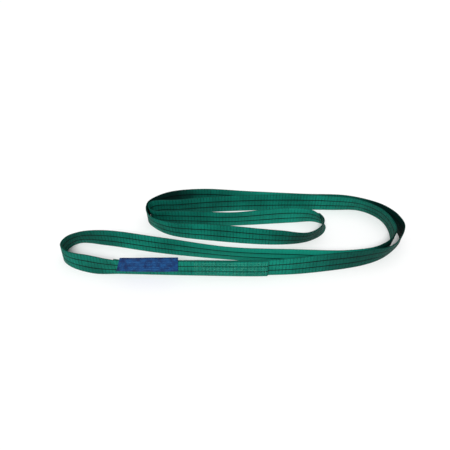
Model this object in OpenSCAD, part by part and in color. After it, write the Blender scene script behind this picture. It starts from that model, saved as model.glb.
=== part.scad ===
// Endless flat web sling, standing on the long edge of its webbing and laid in three bights.
// One webbing strip follows a closed route and laps over itself in a sewn joint.
// Millimetres. Heights are measured up the webbing's width, from its lower edge.

/* [Webbing] */
// Width of the webbing
web_w = 60; // [50:1:75]
// Thickness of one ply
web_t = 3.2; // [2.4:0.1:4]

/* [Sewn joint] */
// Length over which the two ends of the strip lap
overlap = 410; // [330:5:500]
// Clear space between the two plies
ply_gap = 0.4; // [0.35:0.05:0.8]
// Length over which a ply eases back to the middle of the route
ease_len = 90; // [70:5:120]
// From the front ply's cut end to the first stitch row
sew_start = 6; // [4:1:12]
// Length of the sewn block
sew_len = 190; // [150:5:230]
// Number of lengthwise stitch rows
sew_rows = 8; // [4:1:10]
// From a webbing edge to the outermost stitch row
sew_margin = 6; // [4:0.5:10]

/* [Thread] */
// Width of a stitch row
thread_w = 1.2; // [0.8:0.1:1.6]
// Height of a stitch row above the surface
thread_h = 0.5; // [0.3:0.05:0.8]

/* [Label] */
// Length of the label along its lower edge, its sewn end included
label_len = 168; // [140:1:190]
// Width of the label
label_w = 62; // [50:1:66]
// Thickness of the label
label_t = 0.8; // [0.5:0.1:1.2]
// Clear space between the webbing and the label
label_gap = 0.3; // [0.15:0.05:0.4]
// From the webbing's lower edge to the label's lower edge, at the label's sewn edge
label_rise = 14; // [10:1:18]
// How much higher the label is at its free end than at its sewn edge
label_askew = 5; // [0:1:6]
// Length of the label's end that is sewn down, along its lower edge
label_hem = 32; // [26:1:36]
// How much shorter the label's upper edge is at its sewn edge, which is cut on a slant
label_slant = 20; // [0:1:24]
// From the rear ply's cut end to the label's sewn edge
label_back = 2; // [1:0.5:6]
// Gap at the fold between the label's sewn end and its flap
fold_gap = 0.2; // [0.1:0.05:0.4]
// Number of stitch rows along the label's sewn edge
label_rows = 2; // [1:1:2]
// From one of those rows to the next
label_row_gap = 7; // [5:1:8]
// From an edge of the label to the stitching
label_margin = 4; // [3:0.5:6]

/* [Hidden] */

web_color = [0.10, 0.42, 0.33];
thread_color = [0.50, 0.66, 0.58];
label_color = [0.10, 0.20, 0.55];
label_thread_color = [0.07, 0.10, 0.28];

// The closed route, as [x, y, lean]: the lean is in degrees, to the left of the way round.
// It runs through the joint, the front eye, the middle run, the right bend's inner side,
// the rear eye and the right bend's outer side, and back to the joint.
route = [
    [85, -151, 2], [-107, -149, 5], [-311, -143, 8], [-390, -142, -7.5], [-457, -116, 0],
    [-481, -89, -2.5], [-478, -48, -13.5], [-450, -24, -17.5], [-370, -33, -2], [-212, -65, 1],
    [-24, -90, -10.5], [155, -106, -5], [307, -113, -1], [390, -90, -5], [443, -38, -7],
    [458, 19, 6], [445, 78, 17.5], [392, 122, 19.5], [300, 127, 7], [120, 127, 0],
    [-66, 118, 1], [-181, 108, 5.5], [-229, 105, 4], [-250, 88, -6.5], [-241, 68, -12],
    [-196, 58, -7], [-129, 54, -4.5], [-13, 53, -9], [174, 67, -3], [240, 71, -19.5],
    [271, 53, -29], [267, 29, -17], [250, 7, 6], [204, -19, 20], [122, -30, 5], [-56, -15, -4],
    [-192, 11, 9.5], [-242, 44, 13.5], [-262, 71, 2], [-262, 105, -6], [-209, 145, -6],
    [-105, 155, 1], [48, 144, 0], [215, 139, -7], [345, 138, -12.5], [434, 112, -18.5],
    [468, 66, -9.5], [480, 30, -4], [480, -13, 1], [421, -78, 15.5], [358, -110, 2.5],
    [230, -137, -5.5]
];
// Puts the middle of the whole sling over the origin
centre_shift = [0, 2.3];

knots = len(route);
ply_pitch = web_t + ply_gap;
front_face = (ply_pitch + web_t) / 2;
steps = 4;          // stations in each span between two knots
joint_steps = 16;   // the same in the joint, where plies, label and stitches lie face to face
table_steps = 12;   // steps in each span of the length table

// Two-vectors
function side_of(v) = [-v.y, v.x] / norm(v);
function flat(p) = [p.x, p.y];

// A knot of the closed route, by whole number
function knot(i) = route[((i % knots) + knots) % knots];

// Centripetal spline through the knots: place and lean at the running number u
function root_gap(a, b) = sqrt(norm(flat(b) - flat(a)));
function hermite(a, b, m, n, t) =
    (2 * t ^ 3 - 3 * t ^ 2 + 1) * a + (t ^ 3 - 2 * t ^ 2 + t) * m
    + (3 * t ^ 2 - 2 * t ^ 3) * b + (t ^ 3 - t ^ 2) * n;
function slope(a, b, c, p, q, unit) = ((b - a) / p - (c - a) / (p + q) + (c - b) / q) * unit;
function on_route(u) =
    let (
        i = floor(u), a = knot(i - 1), b = knot(i), c = knot(i + 1), d = knot(i + 2),
        p = root_gap(a, b), q = root_gap(b, c), r = root_gap(c, d)
    )
    hermite(b, c, slope(a, b, c, p, q, q), slope(b, c, d, q, r, q), u - i);

// Length along the route against u, for two rounds
length_table = [
    for (
        i = 0, u = 0, s = 0;
        i <= 2 * knots * table_steps;
        s = s + norm(flat(on_route((i + 1) / table_steps)) - flat(on_route(i / table_steps))),
        i = i + 1,
        u = i / table_steps
    ) [s, u]
];
loop_len = length_table[knots * table_steps][0];
strip_len = loop_len + overlap;
length_by_u = [for (row = length_table) [row[1], row[0]]];
function u_at(s) = lookup(s, length_table);
function s_at(u) = lookup(u, length_by_u);

// How far the strip stands to the left of the route at the length s along the strip
function ramp(x) = let (t = max(0, min(1, x))) 3 * t ^ 2 - 2 * t ^ 3;
function ply_side(s) = ply_pitch / 2 * (
    s < loop_len / 2 ? 1 - ramp((s - overlap) / ease_len) : -ramp((s - loop_len + ease_len) / ease_len)
);

// A point of the strip: u round the route, h up the webbing's width, d to the left of the route
function strip_point(u, h, d) =
    let (
        p = on_route(u),
        small = 0.01,
        left = side_of(flat(on_route(u + small)) - flat(on_route(u - small))),
        at = flat(p) + centre_shift + left * (h * sin(p.z) + d / cos(p.z))
    )
    [at.x, at.y, h * cos(p.z)];

// Closed band over the stations. Each is [u and height of the lower edge, u and height of the
// upper edge, depths of the nearer and further face].
module band(stations) {
    n = len(stations);
    points = [
        for (s = stations)
            each [
                strip_point(s[0], s[1], s[4]), strip_point(s[0], s[1], s[5]),
                strip_point(s[2], s[3], s[5]), strip_point(s[2], s[3], s[4])
            ]
    ];
    // Opposite walls are cut along the same diagonals, so that a twisted band keeps its thickness
    walls = [
        for (i = [0 : n - 2], k = [0 : 3])
            let (a = 4 * i + k, b = 4 * i + (k + 1) % 4, c = b + 4, d = a + 4)
                each (k < 2 ? [[a, d, b], [b, d, c]] : [[a, d, c], [a, c, b]])
    ];
    last = 4 * (n - 1);
    ends = [[0, 1, 2], [0, 2, 3], [last, last + 2, last + 1], [last, last + 3, last + 2]];
    polyhedron(points = points, faces = concat(walls, ends));
}

// Values of u from length s0 to s1 along the strip, with every span's own n stations between
function stations_between(s0, s1, n) =
    let (u0 = u_at(s0), u1 = u_at(s1), near = 0.1 / n)
        concat(
            [u0],
            [for (i = [floor(u0 * n) : ceil(u1 * n)]) if (i / n > u0 + near && i / n < u1 - near) i / n],
            [u1]
        );

// The webbing from length s0 to s1, with n stations a span
module webbing(s0, s1, n = steps) {
    color(web_color)
        band([
            for (u = stations_between(s0, s1, n))
                let (side = ply_side(s_at(u)))
                    [u, 0, u, web_w, side - web_t / 2, side + web_t / 2]
        ]);
}

// Something flat on or through the joint: lengths s0 to s1, heights h0 to h1, depths d0 to d1
module joint_piece(s0, s1, h0, h1, d0, d1) {
    band([for (u = stations_between(s0, s1, joint_steps)) [u, h0, u, h1, d0, d1]]);
}

// Stitch rows of the joint between the depths d0 and d1: lengthwise rows, and one row across
// each end of the sewn block
module joint_rows(d0, d1) {
    row_pitch = (web_w - 2 * sew_margin - thread_w) / (sew_rows - 1);
    clear = 2 * thread_w;
    for (i = [0 : sew_rows - 1]) {
        h = sew_margin + i * row_pitch;
        joint_piece(sew_start + clear, sew_start + sew_len - clear, h, h + thread_w, d0, d1);
    }
    for (s = [sew_start, sew_start + sew_len - thread_w])
        joint_piece(s, s + thread_w, sew_margin, web_w - sew_margin, d0, d1);
}

// The label, from its sewn edge back along the strip
label_end = overlap - label_back;
fold_at = label_end - label_hem;
label_back_face = front_face + label_gap;
label_front_face = label_back_face + label_t;
function label_low(s) = label_rise + label_askew * (label_end - s) / label_len;

// A piece on the label's outline, lengths s0 to s1 and depths d0 to d1. It keeps inset away from
// the label's lower edge and from its upper edge, or the limit where that is lower. Its two ends
// take the shares cut0 and cut1 of the label's slant.
module label_piece(s0, s1, d0, d1, cut0, cut1, inset = 0, limit = 2 * web_w) {
    band([
        for (u = stations_between(s0, s1, joint_steps))
            let (
                s = s_at(u),
                low = label_low(s) + inset,
                top = min(label_low(s) + label_w, limit) - inset,
                slant = label_slant / label_w * (cut0 + (cut1 - cut0) * (s - s0) / (s1 - s0))
            )
            [
                u_at(s - slant * (low - label_low(s))), low,
                u_at(s - slant * (top - label_low(s))), top, d0, d1
            ]
    ]);
}

// Stitch rows along the label's sewn edge, between the depths d0 and d1
module label_rows_at(d0, d1) {
    for (i = [0 : label_rows - 1]) {
        s = label_end - label_margin - i * label_row_gap;
        label_piece(s - thread_w, s, d0, d1, 1, 1, label_margin, web_w);
    }
}

module front_ply() { webbing(0, overlap, joint_steps); }
module front_eye() { webbing(overlap, s_at(8.5)); }
module middle_run() { webbing(s_at(8.5), s_at(12.5)); }
module right_bend_inner() { webbing(s_at(12.5), s_at(18)); }
module back_run_inner() { webbing(s_at(18), s_at(21)); }
module left_bend_inner() { webbing(s_at(21), s_at(26)); }
module rear_eye_back_leg() { webbing(s_at(26), s_at(28.5)); }
module rear_eye_tip() { webbing(s_at(28.5), s_at(33)); }
module rear_eye_front_leg() { webbing(s_at(33), s_at(36)); }
module left_bend_outer() { webbing(s_at(36), s_at(40.5)); }
module back_run_outer() { webbing(s_at(40.5), s_at(44)); }
module right_bend_outer() { webbing(s_at(44), s_at(50)); }
module front_run() { webbing(s_at(50), loop_len); }
module rear_ply() { webbing(loop_len, strip_len, joint_steps); }

// The needle thread shows on the front face and the bobbin thread on the rear face.
// They lock half way, between the plies.
module joint_needle_thread() {
    color(thread_color) joint_rows(0, front_face + thread_h);
}

module joint_bobbin_thread() {
    color(thread_color) joint_rows(-front_face - thread_h, 0);
}

module label_sewn_end() {
    color(label_color)
        label_piece(fold_at, label_end, label_back_face, label_front_face, 0, 1);
}

module label_flap() {
    color(label_color)
        label_piece(
            label_end - label_len, fold_at - fold_gap, label_back_face, label_front_face, 0, 0
        );
}

module label_needle_thread() {
    color(label_thread_color) label_rows_at(0, label_front_face + thread_h);
}

module label_bobbin_thread() {
    color(label_thread_color) label_rows_at(-front_face - thread_h, 0);
}

front_ply();
front_eye();
middle_run();
right_bend_inner();
back_run_inner();
left_bend_inner();
rear_eye_back_leg();
rear_eye_tip();
rear_eye_front_leg();
left_bend_outer();
back_run_outer();
right_bend_outer();
front_run();
rear_ply();
joint_needle_thread();
joint_bobbin_thread();
label_sewn_end();
label_flap();
label_needle_thread();
label_bobbin_thread();
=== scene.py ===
"""Endless flat web sling, standing on the edge of its webbing and laid in three bights.

The webbing is one unbroken strip on the closed route of the solid part. Its ends lap in a sewn
joint, and a label is sewn to the front of the joint by its left end. Everything is in metres.
Lengths are measured along the strip from the front ply's cut end, heights up the webbing's
width from its lower edge, and depths from the middle of the route towards the front.
"""

import math

import bpy
import numpy as np
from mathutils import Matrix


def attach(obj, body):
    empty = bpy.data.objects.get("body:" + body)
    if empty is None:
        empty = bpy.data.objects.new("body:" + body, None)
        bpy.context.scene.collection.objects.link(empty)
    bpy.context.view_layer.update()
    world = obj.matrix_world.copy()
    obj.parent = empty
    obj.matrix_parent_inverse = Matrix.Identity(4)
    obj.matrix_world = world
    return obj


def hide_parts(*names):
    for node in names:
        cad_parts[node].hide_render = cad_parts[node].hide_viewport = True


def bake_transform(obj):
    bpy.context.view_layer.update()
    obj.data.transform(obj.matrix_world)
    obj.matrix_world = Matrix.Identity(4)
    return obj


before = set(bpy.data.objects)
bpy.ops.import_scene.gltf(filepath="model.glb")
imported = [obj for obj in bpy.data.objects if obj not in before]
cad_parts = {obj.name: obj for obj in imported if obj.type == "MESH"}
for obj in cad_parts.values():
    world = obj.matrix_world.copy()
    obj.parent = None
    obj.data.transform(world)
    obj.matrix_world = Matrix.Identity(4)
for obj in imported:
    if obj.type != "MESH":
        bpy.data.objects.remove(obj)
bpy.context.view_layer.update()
scene = bpy.context.scene
MM = 0.001

# ---------------------------------------------------------------- sizes

WEB_WIDTH = 60 * MM
WEB_THICK = 3.2 * MM
OVERLAP = 410 * MM
PLY_GAP = 0.4 * MM
EASE_LENGTH = 90 * MM
PLY_PITCH = WEB_THICK + PLY_GAP
FRONT_FACE = (PLY_PITCH + WEB_THICK) / 2

RIB_PITCH = 3.1 * MM
RIB_HEIGHT = 0.12 * MM
RIBS_A_BEAT = 3  # every third trough of the ribs gets painted shade
YARN_PITCH = 1.25 * MM
RIB_UNEVENNESS = 0.8
FACE_ENDS_AT = 1.4 * MM  # from the selvedge, where a face starts to round
SHOULDER_AT = 0.4 * MM  # from the selvedge, a point on the rounding
SHOULDER_SHARE = 0.72  # the thickness left there
SEALED_SHARE = 0.72  # the thickness left at a melted cut end
SEALED_RIBS = 1.5  # how many ribs in from the end the melting reaches
LINE_OFFSET = 10 * MM  # from the middle of the webbing to each dark line
LINE_WIDTH = 3.7 * MM
LINE_DEPTH = 0.3 * MM

SEW_START = 6 * MM
SEW_LENGTH = 190 * MM
SEW_ROWS = 8
SEW_MARGIN = 6 * MM
ROW_WIDTH = 1.2 * MM
STITCH = 4.2 * MM
THREAD = 0.95 * MM
ZIGZAG = 2.1 * MM
ZIGZAG_ROWS = (1, 3, 4, 6)
ZIGZAG_STITCH = 1.1 * STITCH
THREAD_TWISTS = 3.0  # in one stitch
THREAD_PLIES = 2.0
STITCH_RISE = 0.12 * MM  # the middle of a stitch above the face
STITCH_SINK = 0.55 * MM  # its ends below the face
STITCH_FILL = 0.98  # its length, as a share of the way from hole to hole
STITCH_WANDER = 0.09  # how far it may turn from that way, in radians

LABEL_LENGTH = 168 * MM
LABEL_WIDTH = 62 * MM
LABEL_THICK = 0.8 * MM
LABEL_RISE = 14 * MM
LABEL_ASKEW = 5 * MM
LABEL_END = OVERLAP - 2 * MM
LABEL_HEM = 32 * MM
LABEL_SLANT = 20 * MM
LABEL_MARGIN = 4 * MM
LABEL_ROWS = 2
LABEL_ROW_GAP = 7 * MM
LABEL_BULGE = 0.06  # how much wider it is half way along
LABEL_BULGE_LOW = 1.2 * MM  # how much lower its lower edge is there
LABEL_SKEW = 4 * MM  # how much longer its upper edge is at the free end
LABEL_BACK = FRONT_FACE + 0.3 * MM
LABEL_MIDDLE = LABEL_BACK + LABEL_THICK / 2
LABEL_EDGE = 0.35 * MM  # how far in its edges are rounded
LABEL_STATIONS = 109  # points along it
LABEL_FACE_POINTS = 15  # points up each face
LABEL_END_SHARE = 0.35  # the thickness left at its two ends
LABEL_WAVE = 0.35 * MM
LABEL_WAVE_TURN = 70  # radians a metre
LABEL_WAVE_SLANT = 1.5  # radians from the lower to the upper edge
LABEL_LIFT = 1.3 * MM  # of the free end's upper corner
LABEL_RIB_PITCH = 1.1 * MM
LABEL_YARN_PITCH = 0.7 * MM
FOLD_AT = LABEL_END - LABEL_HEM

# The closed route: x and y in metres, and the lean in degrees to the left of the way round
ROUTE = np.array([
    [0.085, -0.151, 2], [-0.107, -0.149, 5], [-0.311, -0.143, 8], [-0.390, -0.142, -7.5],
    [-0.457, -0.116, 0], [-0.481, -0.089, -2.5], [-0.478, -0.048, -13.5], [-0.450, -0.024, -17.5],
    [-0.370, -0.033, -2], [-0.212, -0.065, 1], [-0.024, -0.090, -10.5], [0.155, -0.106, -5],
    [0.307, -0.113, -1], [0.390, -0.090, -5], [0.443, -0.038, -7], [0.458, 0.019, 6],
    [0.445, 0.078, 17.5], [0.392, 0.122, 19.5], [0.300, 0.127, 7], [0.120, 0.127, 0],
    [-0.066, 0.118, 1], [-0.181, 0.108, 5.5], [-0.229, 0.105, 4], [-0.250, 0.088, -6.5],
    [-0.241, 0.068, -12], [-0.196, 0.058, -7], [-0.129, 0.054, -4.5], [-0.013, 0.053, -9],
    [0.174, 0.067, -3], [0.240, 0.071, -19.5], [0.271, 0.053, -29], [0.267, 0.029, -17],
    [0.250, 0.007, 6], [0.204, -0.019, 20], [0.122, -0.030, 5], [-0.056, -0.015, -4],
    [-0.192, 0.011, 9.5], [-0.242, 0.044, 13.5], [-0.262, 0.071, 2], [-0.262, 0.105, -6],
    [-0.209, 0.145, -6], [-0.105, 0.155, 1], [0.048, 0.144, 0], [0.215, 0.139, -7],
    [0.345, 0.138, -12.5], [0.434, 0.112, -18.5], [0.468, 0.066, -9.5], [0.480, 0.030, -4],
    [0.480, -0.013, 1], [0.421, -0.078, 15.5], [0.358, -0.110, 2.5], [0.230, -0.137, -5.5],
])
CENTRE_SHIFT = np.array([0, 0.0023])
KNOTS = len(ROUTE)
TABLE_STEPS = 12

# Lengths of the strip that get painted shade, a deeper tone, and painted light, a paler tone:
# middle, half length and depth of tone. An empty list leaves the webbing's even tone.
PAINTED_SHADE_LENGTHS = (
    (0.47, 0.06, 0.35), (0.66, 0.14, 0.35), (1.55, 0.07, 0.88), (1.68, 0.13, 0.40),
    (2.36, 0.20, 0.40), (2.52, 0.11, 0.32), (3.07, 0.08, 0.65), (3.67, 0.12, 0.96),
    (3.84, 0.12, 0.40), (4.20, 0.12, 0.28), (4.40, 0.18, 0.95), (4.63, 0.17, 0.68),
)
PAINTED_LIGHT_LENGTHS = ((1.22, 0.24, 0.55), (2.80, 0.15, 0.20), (3.95, 0.10, 0.35))
TONE_WAVER = 0.06  # how far the ends of those lengths wander, in metres
TONE_WAVER_SCALE = 30.0


# ---------------------------------------------------------------- the route

def slope(a, b, c, p, q, unit):
    """The spline's slope at b, between a and c, at root gaps of p and q."""
    return ((b - a) / p - (c - a) / (p + q) + (c - b) / q) * unit


def on_route(u):
    """Place and lean at the running numbers u round the closed centripetal spline."""
    first = np.floor(u).astype(int)
    t = (u - first)[:, None]
    a, b, c, d = (ROUTE[(first + k) % KNOTS] for k in (-1, 0, 1, 2))
    p, q, r = (
        np.sqrt(np.linalg.norm((far - near)[:, :2], axis=1))[:, None]
        for near, far in ((a, b), (b, c), (c, d))
    )
    m, n = slope(a, b, c, p, q, q), slope(b, c, d, q, r, q)
    return (
        (2 * t**3 - 3 * t**2 + 1) * b + (t**3 - 2 * t**2 + t) * m
        + (3 * t**2 - 2 * t**3) * c + (t**3 - t**2) * n
    )


TABLE_U = np.arange(2 * KNOTS * TABLE_STEPS + 1) / TABLE_STEPS
TABLE_S = np.concatenate([
    [0], np.cumsum(np.linalg.norm(np.diff(on_route(TABLE_U)[:, :2], axis=0), axis=1))
])
LOOP_LENGTH = TABLE_S[KNOTS * TABLE_STEPS]
STRIP_LENGTH = LOOP_LENGTH + OVERLAP


def ramp(x):
    """A smooth step from 0 to 1."""
    t = np.clip(x, 0, 1)
    return 3 * t**2 - 2 * t**3


def ply_side(s):
    """How far the strip stands in front of the route's middle at the lengths s."""
    front = 1 - ramp((s - OVERLAP) / EASE_LENGTH)
    rear = -ramp((s - LOOP_LENGTH + EASE_LENGTH) / EASE_LENGTH)
    return PLY_PITCH / 2 * np.where(s < LOOP_LENGTH / 2, front, rear)


def strip_frame(s):
    """At the lengths s: place on the floor, the way to the left, and the lean in radians."""
    u = np.interp(s, TABLE_S, TABLE_U)
    small = 0.01
    way = (on_route(u + small) - on_route(u - small))[:, :2]
    left = np.stack([-way[:, 1], way[:, 0]], axis=1) / np.linalg.norm(way, axis=1)[:, None]
    here = on_route(u)
    return here[:, :2] + CENTRE_SHIFT, left, np.radians(here[:, 2])


def strip_points(s, height, depth):
    """Points of the strip at lengths s, heights and depths, which may be arrays of one size."""
    s, height, depth = np.broadcast_arrays(
        *(np.atleast_1d(v).astype(float) for v in (s, height, depth))
    )
    at, left, lean = strip_frame(s)
    side = height * np.sin(lean) + depth / np.cos(lean)
    return np.column_stack([at + left * side[:, None], height * np.cos(lean)])


def strip_facing(s):
    """The way out of the strip's front face at the lengths s."""
    _, left, lean = strip_frame(np.atleast_1d(s).astype(float))
    return np.column_stack([left * np.cos(lean)[:, None], -np.sin(lean)])


# ---------------------------------------------------------------- camera, light and floor

def make_camera():
    """A camera in front of the sling and above it."""
    camera = bpy.data.objects.new("camera", bpy.data.cameras.new("camera"))
    camera.location = (-0.030, -1.0464, 0.9765)
    camera.rotation_euler = (math.radians(48.5), 0, 0)
    camera.data.sensor_width = 36
    camera.data.lens = 38.96
    scene.collection.objects.link(camera)
    scene.camera = camera


def make_light(name, place, width, power):
    """A broad, distant light that shines from a place towards the origin. Width in degrees."""
    light = bpy.data.objects.new(name, bpy.data.lights.new(name, "SUN"))
    light.data.angle = math.radians(width)
    light.data.energy = power
    light.location = place
    x, y, z = place
    light.rotation_euler = (math.atan2(math.hypot(x, y), z), 0, math.atan2(-y, -x) - math.pi / 2)
    scene.collection.objects.link(light)


def make_stage():
    """Pale floor, soft light from above and in front, and an even pale surrounding."""
    world = bpy.data.worlds.new("studio")
    world.use_nodes = True
    world.node_tree.nodes["Background"].inputs["Color"].default_value = (1, 1, 1, 1)
    world.node_tree.nodes["Background"].inputs["Strength"].default_value = 0.3
    scene.world = world
    scene.view_settings.view_transform = "Standard"
    make_light("key_light", (-0.35, -1.7, 2.0), 24, 3.0)
    make_light("top_light", (0.3, 0.4, 2.6), 60, 0.35)

    half = 6
    corners = [(-half, -half, 0), (half, -half, 0), (half, half, 0), (-half, half, 0)]
    mesh = bpy.data.meshes.new("floor")
    mesh.from_pydata(corners, [], [(0, 1, 2, 3)])
    floor = bpy.data.objects.new("floor", mesh)
    scene.collection.objects.link(floor)
    material = bpy.data.materials.new("pale_floor")
    material.use_nodes = True
    shader = material.node_tree.nodes["Principled BSDF"]
    shader.inputs["Base Color"].default_value = (0.93, 0.93, 0.93, 1)
    shader.inputs["Roughness"].default_value = 0.9
    shader.inputs["Specular IOR Level"].default_value = 0.1
    mesh.materials.append(material)


# ---------------------------------------------------------------- node helpers

def add_node(tree, kind, inputs=None, **settings):
    """A node with its settings. An input that is a socket is linked, and any other is set."""
    node = tree.nodes.new(kind)
    for name, value in settings.items():
        setattr(node, name, value)
    for key, value in (inputs or {}).items():
        if isinstance(value, bpy.types.NodeSocket):
            tree.links.new(value, node.inputs[key])
        else:
            node.inputs[key].default_value = value
    return node


def calc(tree, operation, *values):
    """The result of one step of arithmetic."""
    return add_node(tree, "ShaderNodeMath", dict(enumerate(values)), operation=operation).outputs[0]


def smooth_step(tree, value, low, high, start=0.0, end=1.0):
    """Goes smoothly from start to end as the value goes from low to high."""
    inputs = {"Value": value, "From Min": low, "From Max": high, "To Min": start, "To Max": end}
    return add_node(
        tree, "ShaderNodeMapRange", inputs, interpolation_type="SMOOTHSTEP"
    ).outputs["Result"]


def noise(tree, vector, scale, detail=2.0):
    """Smooth noise of about 0 to 1."""
    inputs = {"Vector": vector, "Scale": scale, "Detail": detail}
    return add_node(tree, "ShaderNodeTexNoise", inputs).outputs[0]


def mix_colour(tree, share, first, second, blend="MIX"):
    """The first colour, with a share of the second over it."""
    node = add_node(tree, "ShaderNodeMix", data_type="RGBA", blend_type=blend)
    for key, value in ((0, share), (6, first), (7, second)):
        if isinstance(value, bpy.types.NodeSocket):
            tree.links.new(value, node.inputs[key])
        else:
            node.inputs[key].default_value = value
    return node.outputs[2]


def new_tree(name, kind, inputs, outputs):
    """A node group with named inputs, as (name, socket type, default), and named outputs."""
    tree = bpy.data.node_groups.new(name, kind)
    for label, socket, value in inputs:
        made = tree.interface.new_socket(label, in_out="INPUT", socket_type=socket)
        if value is not None:
            made.default_value = value
    for label, socket in outputs:
        tree.interface.new_socket(label, in_out="OUTPUT", socket_type=socket)
    return tree, tree.nodes.new("NodeGroupInput").outputs, tree.nodes.new("NodeGroupOutput").inputs


FLOAT, VECTOR, SHAPE = "NodeSocketFloat", "NodeSocketVector", "NodeSocketGeometry"


def colour(red, green, blue):
    """A colour from its 0 to 255 values on screen."""
    parts = []
    for value in (red, green, blue):
        c = value / 255
        parts.append(c / 12.92 if c <= 0.04045 else ((c + 0.055) / 1.055) ** 2.4)
    return (*parts, 1)


# ---------------------------------------------------------------- shader groups

def make_weave_group():
    """Yarns that float over and under: height, the gaps between them for painted shade, and a tone a
    yarn.
    """
    tree, given, out = new_tree(
        "weave", "ShaderNodeTree",
        [("Along", FLOAT, 0), ("Across", FLOAT, 0), ("Rib Pitch", FLOAT, 0.002),
         ("Yarn Pitch", FLOAT, 0.001)],
        [("Height", FLOAT), ("Gap", FLOAT), ("Tone", FLOAT)],
    )
    yarn = calc(tree, "DIVIDE", given["Across"], given["Yarn Pitch"])
    column = calc(tree, "FLOOR", yarn)
    shift = calc(tree, "MULTIPLY", calc(tree, "FLOORED_MODULO", column, 2.0), 0.5)
    turn = calc(tree, "ADD", calc(tree, "DIVIDE", given["Along"], given["Rib Pitch"]), shift)
    crest = calc(tree, "ABSOLUTE", calc(tree, "SINE", calc(tree, "MULTIPLY", turn, math.pi)))
    round_yarn = calc(tree, "ABSOLUTE", calc(tree, "SINE", calc(tree, "MULTIPLY", yarn, math.pi)))
    crest = calc(tree, "POWER", crest, 0.55)
    round_yarn = calc(tree, "POWER", round_yarn, 0.6)
    height = calc(tree, "MULTIPLY", crest, round_yarn)
    tree.links.new(height, out["Height"])
    tree.links.new(smooth_step(tree, height, 0.15, 0.75, 1.0, 0.0), out["Gap"])
    tone = add_node(tree, "ShaderNodeTexWhiteNoise", {"W": column}, noise_dimensions="1D")
    tree.links.new(tone.outputs["Value"], out["Tone"])
    return tree


def make_mottle_group():
    """Soft clouding and fine speckle of a dyed surface, about 0 to 1."""
    tree, given, out = new_tree(
        "mottle", "ShaderNodeTree",
        [("Place", VECTOR, (0, 0, 0)), ("Cloud Scale", FLOAT, 20), ("Speckle Scale", FLOAT, 600),
         ("Speckle Share", FLOAT, 0.3)],
        [("Value", FLOAT)],
    )
    cloud = noise(tree, given["Place"], given["Cloud Scale"], 3.0)
    speckle = noise(tree, given["Place"], given["Speckle Scale"], 1.0)
    share = given["Speckle Share"]
    kept = calc(tree, "MULTIPLY", cloud, calc(tree, "SUBTRACT", 1.0, share))
    tree.links.new(calc(tree, "ADD", kept, calc(tree, "MULTIPLY", speckle, share)), out["Value"])
    return tree


WEAVE = make_weave_group()
MOTTLE = make_mottle_group()


def add_group(tree, group, inputs):
    """The outputs of a shader group with its inputs set or linked."""
    return add_node(tree, "ShaderNodeGroup", inputs, node_tree=group).outputs


def surface_lengths(tree):
    """The piece's own length along and across, from its UV map, which is in metres."""
    place = add_node(tree, "ShaderNodeUVMap", uv_map="weave_map").outputs[0]
    split = add_node(tree, "ShaderNodeSeparateXYZ", {0: place}).outputs
    return place, split["X"], split["Y"]


def new_material(name, sheen):
    """A plain shader with its constant values. Its colour, roughness and normal are fed in later."""
    material = bpy.data.materials.new(name)
    material.use_nodes = True
    shader = material.node_tree.nodes["Principled BSDF"]
    shader.inputs["Sheen Weight"].default_value = sheen
    shader.inputs["Sheen Roughness"].default_value = 0.4
    shader.inputs["Specular IOR Level"].default_value = 0.06
    return material, material.node_tree, shader.inputs


def set_bump(tree, shader, height, distance):
    """Fine relief that is too small to be in the mesh."""
    bump = add_node(
        tree, "ShaderNodeBump", {"Height": height, "Distance": distance, "Strength": 1.0}
    )
    tree.links.new(bump.outputs["Normal"], shader["Normal"])


# ---------------------------------------------------------------- materials

def lengths_mask(tree, place, along, lengths):
    """Marks lengths of the strip, fading in and out unevenly."""
    waver = calc(tree, "MULTIPLY_ADD", noise(tree, place, TONE_WAVER_SCALE), TONE_WAVER, along)
    waver = calc(tree, "SUBTRACT", waver, TONE_WAVER / 2)
    mask = 0.0
    for middle, half, depth in lengths:
        away = calc(tree, "ABSOLUTE", calc(tree, "SUBTRACT", waver, middle))
        patch = smooth_step(tree, away, 0.35 * half, 1.3 * half, depth, 0.0)
        mask = calc(tree, "MAXIMUM", mask, patch)
    return mask


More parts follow.
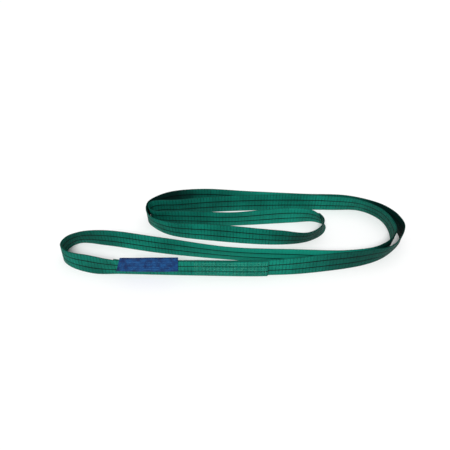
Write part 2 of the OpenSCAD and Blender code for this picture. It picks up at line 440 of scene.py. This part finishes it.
def green_webbing():
    """Dyed polyester webbing: ribs, yarns, two dark lines, painted shade at the selvedges and sealed
    cut ends.
    """
    material, tree, shader = new_material("green_webbing", 0.0)
    place, along, across = surface_lengths(tree)
    weave = add_group(tree, WEAVE, {
        "Along": along, "Across": across, "Rib Pitch": RIB_PITCH, "Yarn Pitch": YARN_PITCH,
    })
    mottle = add_group(tree, MOTTLE, {
        "Place": place, "Cloud Scale": 14.0, "Speckle Scale": 420.0, "Speckle Share": 0.4,
    })["Value"]
    lit, deep = colour(14, 144, 122), colour(7, 104, 87)
    dyed = mix_colour(tree, smooth_step(tree, mottle, 0.32, 0.68), deep, lit)
    toned = mix_colour(
        tree, calc(tree, "MULTIPLY", weave["Tone"], 0.12), dyed, colour(24, 150, 128)
    )
    # Painted shade: every third rib trough is darkened, in patches
    beat = calc(tree, "DIVIDE", along, RIBS_A_BEAT * RIB_PITCH)
    beat = calc(tree, "COSINE", calc(tree, "MULTIPLY", beat, 2 * math.pi))
    beat = smooth_step(tree, beat, 0.1, 0.95)
    patchy = smooth_step(tree, noise(tree, place, 60.0), 0.35, 0.65, 0.3, 1.0)
    beat = calc(tree, "MULTIPLY", beat, patchy)
    ribbed = mix_colour(tree, calc(tree, "MULTIPLY", beat, 0.6), toned, colour(4, 62, 54))
    # Painted shade in the gaps between the yarns
    woven = mix_colour(tree, calc(tree, "MULTIPLY", weave["Gap"], 0.5), ribbed, colour(2, 52, 44))

    # Painted light along the pale lengths, then painted shade along the dark lengths
    for lengths, tone in (
        (PAINTED_LIGHT_LENGTHS, colour(30, 172, 146)), (PAINTED_SHADE_LENGTHS, colour(3, 30, 28))
    ):
        woven = mix_colour(tree, lengths_mask(tree, place, along, lengths), woven, tone)

    from_middle = calc(tree, "ABSOLUTE", calc(tree, "SUBTRACT", across, WEB_WIDTH / 2))
    from_line = calc(tree, "ABSOLUTE", calc(tree, "SUBTRACT", from_middle, LINE_OFFSET))
    line = smooth_step(tree, from_line, LINE_WIDTH * 0.34, LINE_WIDTH * 0.54, 1.0, 0.0)
    dashes = calc(tree, "MULTIPLY_ADD", weave["Height"], -0.08, 1.0)
    lined = mix_colour(tree, calc(tree, "MULTIPLY", line, dashes), woven, colour(2, 14, 14))

    # Painted shade: both selvedges are darkened
    edge = smooth_step(tree, from_middle, WEB_WIDTH / 2 - 1.6 * MM, WEB_WIDTH / 2 - 0.3 * MM)
    edged = mix_colour(tree, calc(tree, "MULTIPLY", edge, 0.6), lined, colour(8, 48, 42))

    half = STRIP_LENGTH / 2
    from_strip_middle = calc(tree, "ABSOLUTE", calc(tree, "SUBTRACT", along, half))
    sealed = smooth_step(tree, from_strip_middle, half - 2.2 * MM, half - 0.8 * MM)
    finished = mix_colour(tree, calc(tree, "MULTIPLY", sealed, 0.5), edged, colour(6, 70, 58))
    tree.links.new(finished, shader["Base Color"])

    rough = calc(tree, "MULTIPLY_ADD", weave["Gap"], 0.2, 0.52)
    rough = calc(tree, "SUBTRACT", rough, calc(tree, "MULTIPLY", sealed, 0.25))
    tree.links.new(rough, shader["Roughness"])
    height = calc(tree, "MULTIPLY_ADD", mottle, 0.15, weave["Height"])
    set_bump(tree, shader, height, 0.35 * MM)
    return material


def twisted_thread(name, dark, base, pale):
    """Twisted polyester sewing thread: the grooves between its plies, with painted shade in them,
    and two shades of dye.
    """
    material, tree, shader = new_material(name, 0.05)
    along = add_node(tree, "ShaderNodeAttribute", attribute_name="stitch_along").outputs["Fac"]
    around = add_node(tree, "ShaderNodeAttribute", attribute_name="stitch_around").outputs["Fac"]
    strands = calc(tree, "MULTIPLY", around, THREAD_PLIES)
    turn = calc(tree, "MULTIPLY_ADD", along, THREAD_TWISTS, strands)
    ply = calc(tree, "ABSOLUTE", calc(tree, "SINE", calc(tree, "MULTIPLY", turn, math.pi)))
    place = add_node(tree, "ShaderNodeTexCoord").outputs["Object"]
    mottle = add_group(tree, MOTTLE, {
        "Place": place, "Cloud Scale": 90.0, "Speckle Scale": 2500.0, "Speckle Share": 0.5,
    })["Value"]
    dyed = mix_colour(tree, smooth_step(tree, mottle, 0.42, 0.62), base, pale)
    # Painted shade in the grooves between the plies
    twisted = mix_colour(tree, smooth_step(tree, ply, 0.0, 0.45, 0.6, 0.0), dyed, dark)
    tree.links.new(twisted, shader["Base Color"])
    tree.links.new(calc(tree, "MULTIPLY_ADD", ply, -0.12, 0.58), shader["Roughness"])
    set_bump(tree, shader, ply, 0.15 * MM)
    return material


def blue_label():
    """Coated woven label: clouded blue, darker hem, painted shade along the top and in the yarn
    gaps, with faint blank rules.
    """
    material, tree, shader = new_material("blue_label", 0.02)
    place, along, across = surface_lengths(tree)
    weave = add_group(tree, WEAVE, {
        "Along": along, "Across": across, "Rib Pitch": LABEL_RIB_PITCH,
        "Yarn Pitch": LABEL_YARN_PITCH,
    })
    mottle = add_group(tree, MOTTLE, {
        "Place": place, "Cloud Scale": 55.0, "Speckle Scale": 700.0, "Speckle Share": 0.35,
    })["Value"]
    cloud = mix_colour(
        tree, smooth_step(tree, mottle, 0.36, 0.62), colour(6, 34, 82), colour(14, 76, 134)
    )
    # Painted shade in the gaps between the yarns
    woven = mix_colour(tree, calc(tree, "MULTIPLY", weave["Gap"], 0.35), cloud, colour(4, 26, 62))

    rule = rule_mask(tree, along, across)
    broken = smooth_step(tree, noise(tree, place, 160.0), 0.42, 0.6)
    rule = calc(tree, "MULTIPLY", rule, broken)
    ruled = mix_colour(tree, calc(tree, "MULTIPLY", rule, 0.5), woven, colour(44, 110, 166))
    # Painted shade along the top; the hem end is darkened as well
    top = smooth_step(tree, across, LABEL_WIDTH - 8 * MM, LABEL_WIDTH - 2 * MM)
    hem = smooth_step(tree, along, LABEL_LENGTH - 14 * MM, LABEL_LENGTH - 7 * MM)
    dark = calc(tree, "MULTIPLY", calc(tree, "MAXIMUM", top, hem), 0.65)
    finished = mix_colour(tree, dark, ruled, colour(6, 30, 70))
    tree.links.new(finished, shader["Base Color"])
    tree.links.new(calc(tree, "MULTIPLY_ADD", weave["Gap"], 0.15, 0.42), shader["Roughness"])
    set_bump(tree, shader, weave["Height"], 0.12 * MM)
    return material


def rule_mask(tree, along, across):
    """Three blank rules along the label, for whatever a user writes on it."""
    pitch, first, last = 11 * MM, 12 * MM, LABEL_LENGTH - 34 * MM
    row = calc(tree, "DIVIDE", calc(tree, "SUBTRACT", across, 4 * MM), pitch)
    from_middle = calc(tree, "ABSOLUTE", calc(tree, "SUBTRACT", calc(tree, "FRACT", row), 0.5))
    bar = smooth_step(tree, from_middle, 0.09, 0.13, 1.0, 0.0)
    started = smooth_step(tree, along, first, first + MM)
    ended = smooth_step(tree, along, last, last + MM, 1.0, 0.0)
    inside = smooth_step(tree, across, LABEL_WIDTH - 14 * MM, LABEL_WIDTH - 13 * MM, 1.0, 0.0)
    kept = calc(tree, "MULTIPLY", ended, inside)
    return calc(tree, "MULTIPLY", calc(tree, "MULTIPLY", bar, started), kept)


# ---------------------------------------------------------------- mesh helpers

def add_object(name, mesh):
    """A new object at the origin, unturned and unscaled."""
    piece = bpy.data.objects.new(name, mesh)
    scene.collection.objects.link(piece)
    return piece


def tube_mesh(name, rings, uv):
    """A closed tube with flat ends through rings of points, an array of (ring, point, xyz).
    The uv array gives every ring point its place on the map, in metres."""
    count, around = rings.shape[:2]
    index = np.arange(count * around).reshape(count, around)
    here, there = index[:-1], index[1:]
    walls = np.stack(
        [here, np.roll(here, -1, axis=1), np.roll(there, -1, axis=1), there], axis=-1
    ).reshape(-1, 4)
    faces = [*map(tuple, walls), tuple(index[0][::-1]), tuple(index[-1])]
    mesh = bpy.data.meshes.new(name)
    mesh.from_pydata(rings.reshape(-1, 3), [], faces)
    corner_points = np.zeros(len(mesh.loops), int)
    mesh.loops.foreach_get("vertex_index", corner_points)
    layer = mesh.uv_layers.new(name="weave_map")
    layer.uv.foreach_set("vector", uv.reshape(-1, 2)[corner_points].astype(np.float32).ravel())
    mesh.shade_smooth()
    return mesh


def apply_tree(name, mesh, tree, values):
    """Runs a geometry tree on a mesh with its named values, and returns a plain mesh."""
    carrier = add_object(name + "_carrier", mesh)
    modifier = carrier.modifiers.new("shape", "NODES")
    modifier.node_group = tree
    for socket in tree.interface.items_tree:
        if socket.in_out == "INPUT" and socket.name in values:
            modifier[socket.identifier] = values[socket.name]
    evaluated = carrier.evaluated_get(bpy.context.evaluated_depsgraph_get())
    result = bpy.data.meshes.new_from_object(evaluated)
    bpy.data.objects.remove(carrier)
    result.name = name
    return result


# ---------------------------------------------------------------- webbing

def web_section():
    """Heights, depths from the ply's middle, and face marks round one ply, lower edge first."""
    half = WEB_THICK / 2
    line = np.array([-0.5, 0.0, 0.5]) * LINE_WIDTH
    face = np.concatenate([
        [FACE_ENDS_AT], WEB_WIDTH / 2 - LINE_OFFSET + line, [WEB_WIDTH / 2],
        WEB_WIDTH / 2 + LINE_OFFSET + line, [WEB_WIDTH - FACE_ENDS_AT],
    ])
    shoulder = SHOULDER_SHARE * half
    low_edge = [(SHOULDER_AT, -shoulder), (0, 0), (SHOULDER_AT, shoulder)]
    top_edge = [(WEB_WIDTH - h, -d) for h, d in low_edge]
    points = (
        [(*p, 0) for p in low_edge] + [(h, half, 1) for h in face]
        + [(*p, 0) for p in top_edge] + [(h, -half, 1) for h in face[::-1]]
    )
    return np.array(points).T


def web_mesh():
    """The whole strip, with a ring of points at every crest and trough of its ribs."""
    heights, depths, marks = web_section()
    count = int(round(STRIP_LENGTH / (RIB_PITCH / 2)))
    s = np.linspace(0, STRIP_LENGTH, count + 1)
    seal = np.clip(np.minimum(s, STRIP_LENGTH - s) / (SEALED_RIBS * RIB_PITCH), 0, 1)
    seal = SEALED_SHARE + (1 - SEALED_SHARE) * np.sqrt(seal)
    grid_s, grid_h = np.broadcast_arrays(s[:, None], heights[None, :])
    grid_d = ply_side(s)[:, None] + depths[None, :] * seal[:, None]
    rings = strip_points(grid_s.ravel(), grid_h.ravel(), grid_d.ravel())
    rings = rings.reshape(len(s), len(heights), 3)
    mesh = tube_mesh("webbing", rings[:, ::-1], np.stack([grid_s, grid_h], axis=-1)[:, ::-1])
    for name, values in (
        ("along", grid_s), ("across", grid_h), ("face", np.broadcast_to(marks, grid_s.shape))
    ):
        attribute = mesh.attributes.new(name, "FLOAT", "POINT")
        attribute.data.foreach_set("value", values[:, ::-1].astype(np.float32).ravel())
    return mesh


def relief_tree():
    """Raises the ribs and sinks the two lines of a strip whose points know their place."""
    tree, given, out = new_tree(
        "webbing_relief", "GeometryNodeTree",
        [("Geometry", SHAPE, None), ("Rib Pitch", FLOAT, 0.002), ("Rib Height", FLOAT, 0.0001),
         ("Line Offset", FLOAT, 0.01), ("Line Width", FLOAT, 0.001), ("Line Depth", FLOAT, 0.0002),
         ("Middle", FLOAT, 0.03), ("Unevenness", FLOAT, 0.3),
         ("Material", "NodeSocketMaterial", None)],
        [("Geometry", SHAPE)],
    )

    def mark(name):
        return add_node(
            tree, "GeometryNodeInputNamedAttribute", {"Name": name}, data_type="FLOAT"
        ).outputs["Attribute"]

    turns = calc(tree, "DIVIDE", mark("along"), given["Rib Pitch"])
    wave = calc(tree, "COSINE", calc(tree, "MULTIPLY", turns, 2 * math.pi))
    along_across = add_node(
        tree, "ShaderNodeCombineXYZ", {"X": mark("along"), "Y": mark("across")}
    ).outputs[0]
    uneven = calc(tree, "MULTIPLY", noise(tree, along_across, 70.0), given["Unevenness"])
    rib = calc(tree, "MULTIPLY", calc(tree, "ADD", wave, uneven), given["Rib Height"])
    rib = calc(tree, "MULTIPLY", rib, calc(tree, "MULTIPLY_ADD", mark("face"), 0.75, 0.25))

    from_middle = calc(tree, "ABSOLUTE", calc(tree, "SUBTRACT", mark("across"), given["Middle"]))
    from_line = calc(tree, "ABSOLUTE", calc(tree, "SUBTRACT", from_middle, given["Line Offset"]))
    near = calc(tree, "LESS_THAN", from_line, calc(tree, "MULTIPLY", given["Line Width"], 0.25))
    sunk = calc(tree, "MULTIPLY", near, given["Line Depth"])
    rise = calc(tree, "SUBTRACT", rib, sunk)

    normal = tree.nodes.new("GeometryNodeInputNormal").outputs["Normal"]
    shift = add_node(
        tree, "ShaderNodeVectorMath", {"Vector": normal, "Scale": rise}, operation="SCALE"
    ).outputs["Vector"]
    moved = add_node(
        tree, "GeometryNodeSetPosition", {"Geometry": given["Geometry"], "Offset": shift}
    ).outputs["Geometry"]
    plain = add_node(tree, "GeometryNodeRealizeInstances", {"Geometry": moved}).outputs[0]
    coloured = add_node(
        tree, "GeometryNodeSetMaterial", {"Geometry": plain, "Material": given["Material"]}
    ).outputs["Geometry"]
    tree.links.new(coloured, out["Geometry"])
    return tree


def make_webbing():
    """The whole strip, which stands for the fourteen lengths of the solid part."""
    mesh = apply_tree("webbing", web_mesh(), relief_tree(), {
        "Rib Pitch": RIB_PITCH, "Rib Height": RIB_HEIGHT, "Line Offset": LINE_OFFSET,
        "Line Width": LINE_WIDTH, "Line Depth": LINE_DEPTH, "Middle": WEB_WIDTH / 2,
        "Unevenness": RIB_UNEVENNESS, "Material": green_webbing(),
    })
    webbing = add_object("webbing", mesh)
    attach(webbing, "sling")
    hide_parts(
        "front_ply", "front_eye", "middle_run", "right_bend_inner", "back_run_inner",
        "left_bend_inner", "rear_eye_back_leg", "rear_eye_tip", "rear_eye_front_leg",
        "left_bend_outer", "back_run_outer", "right_bend_outer", "front_run", "rear_ply",
    )


# ---------------------------------------------------------------- label

def label_low(s):
    """Height of the label's lower edge, which climbs a little towards its free end."""
    return LABEL_RISE + LABEL_ASKEW * (LABEL_END - s) / LABEL_LENGTH


def label_bow(s, share):
    """How far the label stands off its seat: flat where it is sewn, and lifting to its free end."""
    free = np.clip((FOLD_AT - s) / (FOLD_AT - LABEL_END + LABEL_LENGTH), 0, 1)
    turn = LABEL_WAVE_TURN * s + LABEL_WAVE_SLANT * share
    wave = LABEL_WAVE * (1 + np.sin(turn)) * np.sqrt(free)
    return wave + LABEL_LIFT * free**3 * (1 + share) / 2


def label_mesh():
    """A thin plate with rounded edges. Its left end is cut on a slant."""
    half = LABEL_THICK / 2
    inner = np.linspace(LABEL_EDGE, LABEL_WIDTH - LABEL_EDGE, LABEL_FACE_POINTS)
    front = [(h, half) for h in inner]
    back = [(h, -half) for h in inner[::-1]]
    above, depths = np.array([(0, 0)] + front + [(LABEL_WIDTH, 0)] + back).T
    along = np.linspace(LABEL_END - LABEL_LENGTH, LABEL_END, LABEL_STATIONS)[:, None]
    share = (LABEL_END - along) / LABEL_LENGTH
    bulge = np.sin(math.pi * share)
    height = label_low(along) - LABEL_BULGE_LOW * bulge + above * (1 + LABEL_BULGE * bulge)
    held = np.clip((along - FOLD_AT) / LABEL_HEM, 0, 1)
    free = np.clip((FOLD_AT - along) / (FOLD_AT - LABEL_END + LABEL_LENGTH), 0, 1)
    s = along - (LABEL_SLANT * held + LABEL_SKEW * free) * above / LABEL_WIDTH
    taper = np.ones_like(along)
    taper[[0, -1]] = LABEL_END_SHARE
    depth = LABEL_MIDDLE + label_bow(s, above / LABEL_WIDTH) + depths * taper
    rings = strip_points(s.ravel(), height.ravel(), depth.ravel()).reshape(*s.shape, 3)
    uv = np.stack(np.broadcast_arrays(s - (LABEL_END - LABEL_LENGTH), above), axis=-1)
    return tube_mesh("label", rings[:, ::-1], uv[:, ::-1])


def make_label():
    """The label, sewn to the sling by its left end."""
    label = add_object("label", label_mesh())
    label.data.materials.append(blue_label())
    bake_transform(label)
    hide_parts("label_sewn_end", "label_flap")


# ---------------------------------------------------------------- stitches

def seam_mesh(name, seams):
    """Seam lines from needle hole to needle hole, one edge a stitch. A seam is a list of
    (length, height, depth), and its stitches face the way that its depth has."""
    points, ways, edges = [], [], []
    for seam in seams:
        s, height, depth = np.array(seam).T
        first = len(points)
        points += list(strip_points(s, height, depth))
        ways += list(strip_facing(s) * np.sign(depth)[:, None])
        edges += [(k, k + 1) for k in range(first, len(points) - 1)]
    mesh = bpy.data.meshes.new(name)
    mesh.from_pydata(points, edges, [])
    attribute = mesh.attributes.new("facing", "FLOAT_VECTOR", "POINT")
    attribute.data.foreach_set("vector", np.array(ways, np.float32).ravel())
    return mesh


def stitch_tree():
    """Lays one arched, round stitch over every edge of the seam lines."""
    tree, given, out = new_tree(
        "lock_stitches", "GeometryNodeTree",
        [("Geometry", SHAPE, None), ("Thread Width", FLOAT, 0.001), ("Rise", FLOAT, 0.0003),
         ("Sink", FLOAT, 0.0005), ("Fill", FLOAT, 0.94), ("Wander", FLOAT, 0.08),
         ("Seed", "NodeSocketInt", 1), ("Material", "NodeSocketMaterial", None)],
        [("Geometry", SHAPE)],
    )
    # One stitch a metre long, to be scaled to its edge
    low = calc(tree, "MULTIPLY", given["Sink"], -1.0)
    high = calc(tree, "MULTIPLY_ADD", given["Rise"], 2.0, given["Sink"])
    start = add_node(tree, "ShaderNodeCombineXYZ", {"X": -0.5, "Z": low}).outputs[0]
    middle = add_node(tree, "ShaderNodeCombineXYZ", {"X": 0.0, "Z": high}).outputs[0]
    end = add_node(tree, "ShaderNodeCombineXYZ", {"X": 0.5, "Z": low}).outputs[0]
    arch = add_node(
        tree, "GeometryNodeCurveQuadraticBezier",
        {"Resolution": 6, "Start": start, "Middle": middle, "End": end},
    ).outputs[0]
    radius = calc(tree, "MULTIPLY", given["Thread Width"], 0.5)
    ring = add_node(
        tree, "GeometryNodeCurvePrimitiveCircle", {"Resolution": 7, "Radius": radius}
    ).outputs[0]

    def remember(curve, name):
        """Keeps how far along a curve each of its points is, for the thread's twist."""
        share = tree.nodes.new("GeometryNodeSplineParameter").outputs["Factor"]
        return add_node(
            tree, "GeometryNodeStoreNamedAttribute",
            {"Geometry": curve, "Name": name, "Value": share}, data_type="FLOAT", domain="POINT",
        ).outputs[0]

    stitch = add_node(tree, "GeometryNodeCurveToMesh", {
        "Curve": remember(arch, "stitch_along"), "Profile Curve": remember(ring, "stitch_around"),
        "Fill Caps": True,
    }).outputs[0]

    # Every edge gives its middle, way, length and facing
    ends = tree.nodes.new("GeometryNodeInputMeshEdgeVertices").outputs
    way = add_node(
        tree, "ShaderNodeVectorMath", {0: ends["Position 2"], 1: ends["Position 1"]},
        operation="SUBTRACT",
    ).outputs["Vector"]
    facing = add_node(
        tree, "GeometryNodeInputNamedAttribute", {"Name": "facing"}, data_type="FLOAT_VECTOR"
    ).outputs["Attribute"]
    kept = add_node(tree, "GeometryNodeCaptureAttribute", domain="EDGE")
    kept.capture_items.new("VECTOR", "Way")
    kept.capture_items.new("VECTOR", "Facing")
    tree.links.new(given["Geometry"], kept.inputs["Geometry"])
    tree.links.new(way, kept.inputs["Way"])
    tree.links.new(facing, kept.inputs["Facing"])
    middles = add_node(
        tree, "GeometryNodeMeshToPoints", {"Mesh": kept.outputs["Geometry"]}, mode="EDGES"
    ).outputs[0]
    size = add_node(
        tree, "ShaderNodeVectorMath", {0: kept.outputs["Way"]}, operation="LENGTH"
    ).outputs["Value"]

    wander = calc(tree, "MULTIPLY", given["Wander"], -1.0)
    sway = add_node(tree, "FunctionNodeRandomValue", data_type="FLOAT")
    tree.links.new(wander, sway.inputs[2])
    tree.links.new(given["Wander"], sway.inputs[3])
    tree.links.new(given["Seed"], sway.inputs["Seed"])
    turned = add_node(
        tree, "FunctionNodeAlignRotationToVector", {"Vector": kept.outputs["Way"]}, axis="X"
    )
    faced = add_node(
        tree, "FunctionNodeAlignRotationToVector",
        {"Rotation": turned.outputs[0], "Vector": kept.outputs["Facing"]}, axis="Z", pivot_axis="X",
    ).outputs[0]
    tilt = add_node(tree, "ShaderNodeCombineXYZ", {"Z": sway.outputs[1]}).outputs[0]
    swayed = add_node(
        tree, "FunctionNodeRotateRotation", {"Rotation": faced, "Rotate By": tilt},
        rotation_space="LOCAL",
    ).outputs[0]
    length = calc(tree, "MULTIPLY", size, given["Fill"])
    scale = add_node(tree, "ShaderNodeCombineXYZ", {"X": length, "Y": 1.0, "Z": 1.0}).outputs[0]
    laid = add_node(tree, "GeometryNodeInstanceOnPoints", {
        "Points": middles, "Instance": stitch, "Rotation": swayed, "Scale": scale,
    }).outputs[0]
    plain = add_node(tree, "GeometryNodeRealizeInstances", {"Geometry": laid}).outputs[0]
    coloured = add_node(
        tree, "GeometryNodeSetMaterial", {"Geometry": plain, "Material": given["Material"]}
    ).outputs["Geometry"]
    tree.links.new(coloured, out["Geometry"])
    return tree


def straight_seam(start, end, depth):
    """Even stitches between two (length, height) points."""
    start, end = np.array(start), np.array(end)
    count = max(1, int(round(np.linalg.norm(end - start) / STITCH)))
    return [(*(start + (end - start) * k / count), depth) for k in range(count + 1)]


def zigzag_seam(start, end, sway, depth):
    """Stitches that step up and down by sway on their way between two (length, height) points."""
    start, end = np.array(start), np.array(end)
    count = int(round(np.linalg.norm(end - start) / ZIGZAG_STITCH))
    seam = []
    for k in range(count + 1):
        s, height = start + (end - start) * k / count
        seam.append((s, height + (sway if k % 2 else -sway), depth))
    return seam


def joint_seams(depth):
    """The sewn block: lengthwise rows, the middle ones zigzagged, and a row across each end."""
    near, far = SEW_START + ROW_WIDTH / 2, SEW_START + SEW_LENGTH - ROW_WIDTH / 2
    clear = 2 * ROW_WIDTH
    pitch = (WEB_WIDTH - 2 * SEW_MARGIN - ROW_WIDTH) / (SEW_ROWS - 1)
    seams = []
    for row in range(SEW_ROWS):
        height = SEW_MARGIN + ROW_WIDTH / 2 + row * pitch
        ends = (near + clear, height), (far - clear, height)
        if row in ZIGZAG_ROWS:
            seams.append(zigzag_seam(*ends, ZIGZAG, depth))
        else:
            seams.append(straight_seam(*ends, depth))
    for s in (near, far):
        seams.append(straight_seam((s, SEW_MARGIN), (s, WEB_WIDTH - SEW_MARGIN), depth))
    return seams


def label_seams(depth):
    """Rows along the label's slanted sewn edge, as far up as the webbing reaches."""
    slant = LABEL_SLANT / LABEL_WIDTH
    seams = []
    for row in range(LABEL_ROWS):
        s = LABEL_END - LABEL_MARGIN - row * LABEL_ROW_GAP - ROW_WIDTH / 2
        low, top = label_low(s) + LABEL_MARGIN, WEB_WIDTH - LABEL_MARGIN
        ends = [(s - slant * (height - label_low(s)), height) for height in (low, top)]
        seams.append(straight_seam(*ends, depth))
    return seams


def make_stitches():
    """The needle and bobbin stitches of the joint and of the label's sewn end."""
    tree = stitch_tree()
    # The first colour of each thread is the painted shade in its grooves
    green = twisted_thread(
        "green_thread", colour(12, 74, 62), colour(24, 124, 104), colour(96, 178, 154)
    )
    navy = twisted_thread(
        "navy_thread", colour(4, 14, 40), colour(10, 26, 64), colour(20, 44, 92)
    )
    label_face = LABEL_BACK + LABEL_THICK
    rows = (
        ("joint_needle", joint_seams(FRONT_FACE), green, "thread", 3),
        ("joint_bobbin", joint_seams(-FRONT_FACE), green, "thread", 5),
        ("label_needle", label_seams(label_face), navy, "label_thread", 7),
        ("label_bobbin", label_seams(-FRONT_FACE), navy, "label_thread", 9),
    )
    for name, seams, thread, slot, seed in rows:
        mesh = apply_tree(name + "_stitches", seam_mesh(name, seams), tree, {
            "Thread Width": THREAD, "Rise": STITCH_RISE, "Sink": STITCH_SINK,
            "Fill": STITCH_FILL, "Wander": STITCH_WANDER, "Seed": seed, "Material": thread,
        })
        piece = add_object(name + "_stitches", mesh)
        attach(piece, "sling")
        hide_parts(name + "_thread")


make_camera()
make_stage()
make_webbing()
make_label()
make_stitches()
